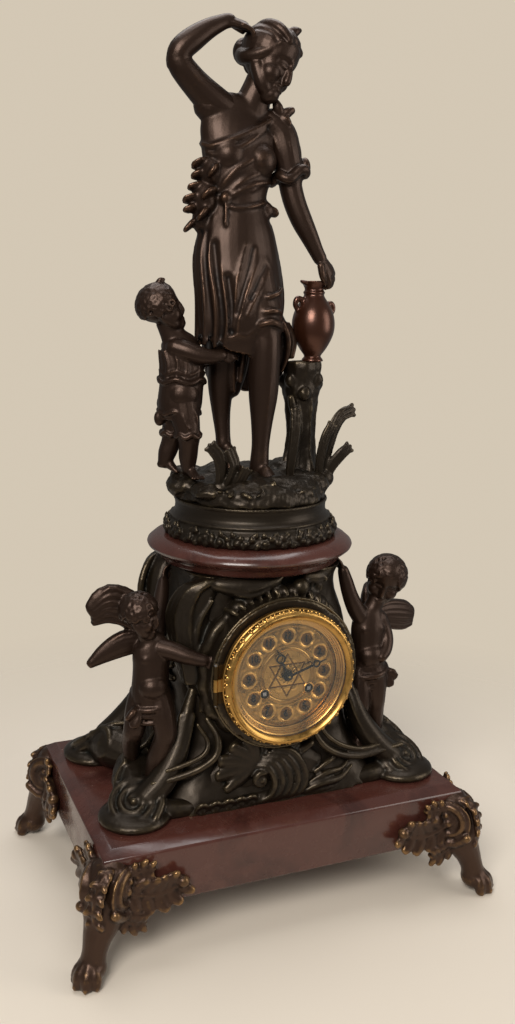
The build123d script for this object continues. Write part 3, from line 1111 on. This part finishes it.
with BuildPart() as cannon_pinion:
    add(gear(CENTRE, CANNON_MODULE, CANNON_TEETH, 0.0, CANNON_FRONT, CANNON_BACK))
    add(rod(0, 0, CANNON_PIPE, MINUTE_HAND_FRONT, CANNON_FRONT))
    add(rod(0, 0, CENTRE_ARBOR + RUNNING, MINUTE_HAND_FRONT - 1, CANNON_BACK + 1), mode=Mode.SUBTRACT)
cannon_pinion.part.label = "cannon_pinion"
export_step(cannon_pinion.part, "parts/cannon_pinion.step")

with BuildPart() as minute_wheel:
    add(gear(MINUTE, CANNON_MODULE, MINUTE_TEETH, MINUTE_PHASE, MINUTE_FRONT, MINUTE_BACK))
    add(gear(MINUTE, HOUR_MODULE, MINUTE_LEAVES, 0.0, HOUR_FRONT - 0.4, MINUTE_FRONT))
    add(rod(MINUTE[0], MINUTE[1], 1.0, HOUR_FRONT - 1.2, FRONT_PLATE + PLATE_THICKNESS))
minute_wheel.part.label = "minute_wheel"
export_step(minute_wheel.part, "parts/minute_wheel.step")

with BuildPart() as hour_wheel:
    add(gear(CENTRE, HOUR_MODULE, HOUR_TEETH, HOUR_PHASE, HOUR_FRONT, HOUR_BACK))
    add(rod(0, 0, HOUR_PIPE, HOUR_HAND_FRONT, HOUR_FRONT))
    add(rod(0, 0, CANNON_PIPE + RUNNING, HOUR_HAND_FRONT - 1, HOUR_BACK + 1), mode=Mode.SUBTRACT)
hour_wheel.part.label = "hour_wheel"
export_step(hour_wheel.part, "parts/hour_wheel.step")


def hand(angle, length, ring_at, ring, boss, bore, front, back):
    """Slim pierced hand: a boss, a tapering arm, an open ring and a point."""
    turn = math.radians(angle)
    with BuildPart() as piece:
        with BuildSketch(Plane((0, back, DIAL_Z), (math.sin(turn), 0, math.cos(turn)), (0, -1, 0))):
            with BuildLine():
                Polyline((0, 1.1), (ring_at, 0.8), (length, 0.15), (length, -0.15), (ring_at, -0.8), (0, -1.1), close=True)
            make_face()
            Circle(boss)
            with Locations((ring_at, 0)):
                Circle(ring)
                Circle(ring - 1.3, mode=Mode.SUBTRACT)
            Circle(bore, mode=Mode.SUBTRACT)
        extrude(amount=back - front)
    return piece.part


with BuildPart() as hour_hand:
    add(hand(HOUR_HAND_ANGLE, HOUR_HAND_LENGTH, 17.0, 4.2, 4.6, HOUR_PIPE + 0.02, HOUR_HAND_FRONT, HOUR_HAND_BACK))
hour_hand.part.label = "hour_hand"
export_step(hour_hand.part, "parts/hour_hand.step")

with BuildPart() as minute_hand:
    add(hand(MINUTE_HAND_ANGLE, MINUTE_HAND_LENGTH, 27.0, 3.4, 3.6, CANNON_PIPE + 0.02, MINUTE_HAND_FRONT, MINUTE_HAND_BACK))
    add(rod(0, 0, 2.6, HAND_TIP, MINUTE_HAND_FRONT))
    add(rod(0, 0, CENTRE_ARBOR + 0.02, HAND_TIP - 1, MINUTE_HAND_FRONT), mode=Mode.SUBTRACT)
minute_hand.part.label = "minute_hand"
export_step(minute_hand.part, "parts/minute_hand.step")

# Strike train, hammer and bell
PIN_FRONT = -57.5
PIN_BACK = -56.2
with BuildPart() as strike_second_wheel:
    add(gear(STRIKE_SECOND, SECOND_MODULE, SECOND_TEETH, 0.0, SECOND_FRONT, SECOND_BACK))
    add(crossings(STRIKE_SECOND, 3.4, 9.8, 4, SECOND_FRONT, SECOND_BACK), mode=Mode.SUBTRACT)
    add(gear(STRIKE_SECOND, GREAT_MODULE, SECOND_LEAVES, STRIKE_SECOND_PINION_PHASE, GREAT_FRONT - 1, SECOND_FRONT))
    add(arbor(STRIKE_SECOND))
strike_second_wheel.part.label = "strike_second_wheel"
export_step(strike_second_wheel.part, "parts/strike_second_wheel.step")

with BuildPart() as pin_wheel:
    add(gear(PIN_WHEEL, PIN_MODULE, PIN_TEETH, 0.0, PIN_FRONT, PIN_BACK))
    add(crossings(PIN_WHEEL, 2.6, 6.0, 4, PIN_FRONT, PIN_BACK), mode=Mode.SUBTRACT)
    add(gear(PIN_WHEEL, SECOND_MODULE, PIN_LEAVES, PIN_PINION_PHASE, SECOND_FRONT - 1, SECOND_BACK + 1))
    for number in range(8):
        peg = polar(PIN_WHEEL, 7.3, 45 * number + 22.5)
        add(rod(peg[0], peg[1], 0.5, PIN_FRONT - 2, PIN_BACK))
    add(arbor(PIN_WHEEL))
pin_wheel.part.label = "pin_wheel"
export_step(pin_wheel.part, "parts/pin_wheel.step")

FLY_FRONT = -71.5
FLY_BACK = -64.5
FLY_HALF = 5.0
with BuildPart() as fly:
    add(block((FLY[0] - FLY_HALF, FLY_FRONT, DIAL_Z + FLY[1] - 0.4), (FLY[0] + FLY_HALF, FLY_BACK, DIAL_Z + FLY[1] + 0.4)))
    add(gear(FLY, PIN_MODULE, FLY_LEAVES, FLY_PINION_PHASE, PIN_FRONT - 1, PIN_BACK + 1))
    add(arbor(FLY))
fly.part.label = "fly"
export_step(fly.part, "parts/fly.step")

BELL_V = -4.0
BELL_RADIUS = 28.0
BELL_MOUTH = -22.0
BELL_CROWN = -2.0
BELL_WALL = 1.6
BELL_STUD = 2.0
ARM_FRONT = -26.5
ARM_BACK = -23.5
with BuildPart() as bell:
    with BuildSketch(Plane((0, 0, DIAL_Z + BELL_V), (1, 0, 0), (0, 0, 1))):
        with BuildLine():
            Line((BELL_RADIUS, BELL_MOUTH), (BELL_RADIUS - BELL_WALL, BELL_MOUTH))
            ThreePointArc((BELL_RADIUS - BELL_WALL, BELL_MOUTH), (20.5, BELL_CROWN - 6.5), (4, BELL_CROWN - BELL_WALL))
            Line((4, BELL_CROWN - BELL_WALL), (BELL_STUD + 0.1, BELL_CROWN - BELL_WALL))
            Line((BELL_STUD + 0.1, BELL_CROWN - BELL_WALL), (BELL_STUD + 0.1, BELL_CROWN))
            Line((BELL_STUD + 0.1, BELL_CROWN), (4, BELL_CROWN))
            ThreePointArc((4, BELL_CROWN), (21.8, BELL_CROWN - 5.5), (BELL_RADIUS, BELL_MOUTH))
        make_face()
    revolve(axis=Axis((0, 0, DIAL_Z + BELL_V), (0, 1, 0)))
bell.part.label = "bell"
export_step(bell.part, "parts/bell.step")

with BuildPart() as bell_stand:
    add(rod(BELL_POST[0], BELL_POST[1], 4.0, BACK_PLATE + PLATE_THICKNESS, BACK_PLATE + PLATE_THICKNESS + 2))
    add(rod(BELL_POST[0], BELL_POST[1], 2.4, BACK_PLATE + PLATE_THICKNESS, ARM_BACK))
    run = (-BELL_POST[0], BELL_V - BELL_POST[1])
    size = math.hypot(*run)
    with BuildSketch(Plane((BELL_POST[0], ARM_BACK, DIAL_Z + BELL_POST[1]), (run[0] / size, 0, run[1] / size), (0, -1, 0))):
        with Locations((size / 2, 0)):
            SlotCenterToCenter(size, 5.0)
    extrude(amount=ARM_BACK - ARM_FRONT)
    add(rod(0, BELL_V, 3.4, ARM_BACK, BELL_CROWN - BELL_WALL))
    add(rod(0, BELL_V, BELL_STUD, BELL_CROWN - BELL_WALL, BELL_CROWN + 4))
    with BuildSketch(Plane((0, BELL_CROWN + 3, DIAL_Z + BELL_V), (1, 0, 0), (0, -1, 0))):
        RegularPolygon(4.2, 6)
        Circle(BELL_STUD + RUNNING, mode=Mode.SUBTRACT)
    extrude(amount=3)
bell_stand.part.label = "bell_stand"
export_step(bell_stand.part, "parts/bell_stand.step")

HAMMER_ROD_FRONT = -26.6
HAMMER_ROD_BACK = -24.6
HAMMER_HEAD = 3.2
HAMMER_SPOT = polar((0, BELL_V), BELL_RADIUS + HAMMER_HEAD + 0.5, 160)
with BuildPart() as hammer:
    add(rod(HAMMER[0], HAMMER[1], ARBOR, FRONT_PLATE + PLATE_THICKNESS + 0.2, BACK_PLATE - 0.2))
    add(rod(HAMMER[0], HAMMER[1], PIVOT, FRONT_PLATE, BACK_PLATE))
    add(rod(HAMMER[0], HAMMER[1], 1.2, BACK_PLATE - 0.2, HAMMER_ROD_BACK))
    run = (HAMMER_SPOT[0] - HAMMER[0], HAMMER_SPOT[1] - HAMMER[1])
    size = math.hypot(*run)
    with BuildSketch(Plane((HAMMER[0], HAMMER_ROD_BACK, DIAL_Z + HAMMER[1]), (run[0] / size, 0, run[1] / size), (0, -1, 0))):
        with Locations((size / 2, 0)):
            SlotCenterToCenter(size, 2.4)
    extrude(amount=HAMMER_ROD_BACK - HAMMER_ROD_FRONT)
    add(rod(HAMMER_SPOT[0], HAMMER_SPOT[1], HAMMER_HEAD, HAMMER_ROD_FRONT, HAMMER_ROD_FRONT + 12))
    toward = (PIN_WHEEL[0] - HAMMER[0], PIN_WHEEL[1] - HAMMER[1])
    reach = math.hypot(*toward)
    with BuildSketch(Plane((HAMMER[0], PIN_FRONT - 0.6, DIAL_Z + HAMMER[1]),
                           (toward[0] / reach, 0, toward[1] / reach), (0, -1, 0))):
        with Locations((3.0, 0)):
            SlotCenterToCenter(6.0, 2.4)
    extrude(amount=1.4)
hammer.part.label = "hammer"
export_step(hammer.part, "parts/hammer.step")

# Back cock with the suspension pin, and the pendulum that hangs from it
SUSPENSION_V = 43.5
SUSPENSION_PIN = 1.2
COCK_FRONT = -36.8
COCK_BACK = -35.0
with BuildPart() as back_cock:
    add(block((-11, COCK_FRONT, DIAL_Z + 32.5), (11, COCK_BACK, DIAL_Z + 47)))
    for side in (-1, 1):
        add(rod(side * 8.8, 36.5, 2.2, BACK_PLATE + PLATE_THICKNESS, COCK_FRONT))
    add(rod(0, SUSPENSION_V, SUSPENSION_PIN, COCK_BACK, PENDULUM_Y + 2.5))
    add(rod(0, SUSPENSION_V, SUSPENSION_PIN + 1, PENDULUM_Y + 1.6, PENDULUM_Y + 2.5))
    add(rod(PALLET[0], PALLET[1], PIVOT + RUNNING, COCK_FRONT - 1, COCK_BACK + 1), mode=Mode.SUBTRACT)
back_cock.part.label = "back_cock"
export_step(back_cock.part, "parts/back_cock.step")

BOB_RADIUS = 19.0
BOB_HALF = 4.2
BOB_V = -84.0
with BuildPart() as pendulum:
    add(turned_on_dial([(0, -BOB_HALF), (BOB_RADIUS * 0.45, -BOB_HALF * 0.86), (BOB_RADIUS * 0.75, -BOB_HALF * 0.56),
                        (BOB_RADIUS, -0.7), (BOB_RADIUS, 0.7), (BOB_RADIUS * 0.75, BOB_HALF * 0.56),
                        (BOB_RADIUS * 0.45, BOB_HALF * 0.86), (0, BOB_HALF)], 0, BOB_V, PENDULUM_Y))
    add(upright(0, PENDULUM_Y, PENDULUM_ROD, DIAL_Z + BOB_V + 5, DIAL_Z + SUSPENSION_V - 2))
    add(rod(0, SUSPENSION_V, 3.2, PENDULUM_Y - 1.2, PENDULUM_Y + 1.2))
    add(upright(0, PENDULUM_Y, 3.0, DIAL_Z + BOB_V - BOB_RADIUS - 3, DIAL_Z + BOB_V - BOB_RADIUS + 2))
    add(rod(0, SUSPENSION_V, SUSPENSION_PIN + 0.1, PENDULUM_Y - 2, PENDULUM_Y + 2), mode=Mode.SUBTRACT)
pendulum.part.label = "pendulum"
export_step(pendulum.part, "parts/pendulum.step")

# Rear ring screwed to the straps from the dial pan, and the hinged rear door
LIP_FRONT = CASE_REAR - 2.0
REAR_FLANGE_BACK = CASE_REAR + 2.0
REAR_TUBE = REAR_BORE - SEAT
REAR_HINGE_X = 61.0
REAR_HINGE_Y = CASE_REAR + 3.6
DOOR_RADIUS = 52.0
DOOR_FRONT = REAR_FLANGE_BACK + 0.4
DOOR_BACK = DOOR_FRONT + 1.8
STUD_END = 1.3

with BuildPart() as movement_straps:
    for angle in STRAP_ANGLES:
        add(strap_bar(angle, 0, FRONT_PLATE + PLATE_THICKNESS, LIP_FRONT))
        spot = polar(CENTRE, (STRAP_IN + STRAP_OUT) / 2, angle)
        add(rod(spot[0], spot[1], STUD_END, LIP_FRONT, CASE_REAR))
movement_straps.part.label = "movement_straps"
export_step(movement_straps.part, "parts/movement_straps.step")

with BuildPart() as rear_ring:
    add(turned_on_dial([
        (PAN_FLANGE, CASE_REAR), (PAN_FLANGE, REAR_FLANGE_BACK), (LIP_RADIUS, REAR_FLANGE_BACK), (LIP_RADIUS, LIP_FRONT),
        (REAR_TUBE - PAN_WALL + 1, LIP_FRONT), (REAR_TUBE - PAN_WALL + 1, LIP_FRONT - 6), (REAR_TUBE, LIP_FRONT - 6), (REAR_TUBE, CASE_REAR),
    ]))
    add(block((PAN_FLANGE - 6, CASE_REAR, KNUCKLE_LOW), (REAR_HINGE_X, REAR_FLANGE_BACK, KNUCKLE_HIGH)))
    add(upright(REAR_HINGE_X, REAR_HINGE_Y, KNUCKLE, KNUCKLE_LOW, DIAL_Z - KNUCKLE_CUT))
    add(upright(REAR_HINGE_X, REAR_HINGE_Y, KNUCKLE, DIAL_Z + KNUCKLE_CUT, KNUCKLE_HIGH))
    add(upright(REAR_HINGE_X, REAR_HINGE_Y, KNUCKLE + HINGE_GAP, DIAL_Z - KNUCKLE_CUT, DIAL_Z + KNUCKLE_CUT), mode=Mode.SUBTRACT)
    add(upright(REAR_HINGE_X, REAR_HINGE_Y, HINGE_PIN + RUNNING, KNUCKLE_LOW - 1, KNUCKLE_HIGH + 1), mode=Mode.SUBTRACT)
    for angle in STRAP_ANGLES:
        spot = polar(CENTRE, (STRAP_IN + STRAP_OUT) / 2, angle)
        add(rod(spot[0], spot[1], STUD_END + RUNNING, LIP_FRONT - 1, REAR_FLANGE_BACK + 1), mode=Mode.SUBTRACT)
rear_ring.part.label = "rear_ring"
export_step(rear_ring.part, "parts/rear_ring.step")

with BuildPart() as rear_door:
    add(rod(0, 0, DOOR_RADIUS, DOOR_FRONT, DOOR_BACK))
    with BuildSketch(Plane((0, DOOR_BACK + 1, DIAL_Z), (1, 0, 0), (0, -1, 0))):
        with PolarLocations(28, 10):
            SlotOverall(14, 4)
    extrude(amount=4, mode=Mode.SUBTRACT)
    add(rod(-DOOR_RADIUS + 7, 0, 2.0, DOOR_BACK, DOOR_BACK + 4))
    add(rod(-DOOR_RADIUS + 7, 0, 3.4, DOOR_BACK + 4, DOOR_BACK + 7))
    add(block((DOOR_RADIUS - 4, DOOR_FRONT, DIAL_Z - KNUCKLE_CUT + HINGE_GAP),
              (REAR_HINGE_X, DOOR_BACK, DIAL_Z + KNUCKLE_CUT - HINGE_GAP)))
    add(upright(REAR_HINGE_X, REAR_HINGE_Y, KNUCKLE, DIAL_Z - KNUCKLE_CUT + HINGE_GAP, DIAL_Z + KNUCKLE_CUT - HINGE_GAP))
    add(upright(REAR_HINGE_X, REAR_HINGE_Y, HINGE_PIN + RUNNING, KNUCKLE_LOW, KNUCKLE_HIGH), mode=Mode.SUBTRACT)
rear_door.part.label = "rear_door"
export_step(rear_door.part, "parts/rear_door.step")

with BuildPart() as hinge_pins:
    for x, y in ((HINGE_X, HINGE_Y), (REAR_HINGE_X, REAR_HINGE_Y)):
        add(upright(x, y, HINGE_PIN, KNUCKLE_LOW - 1.5, KNUCKLE_HIGH + 1.5))
        add(upright(x, y, HINGE_PIN + 0.7, KNUCKLE_HIGH, KNUCKLE_HIGH + 1.5))
hinge_pins.part.label = "hinge_pins"
export_step(hinge_pins.part, "parts/hinge_pins.step")
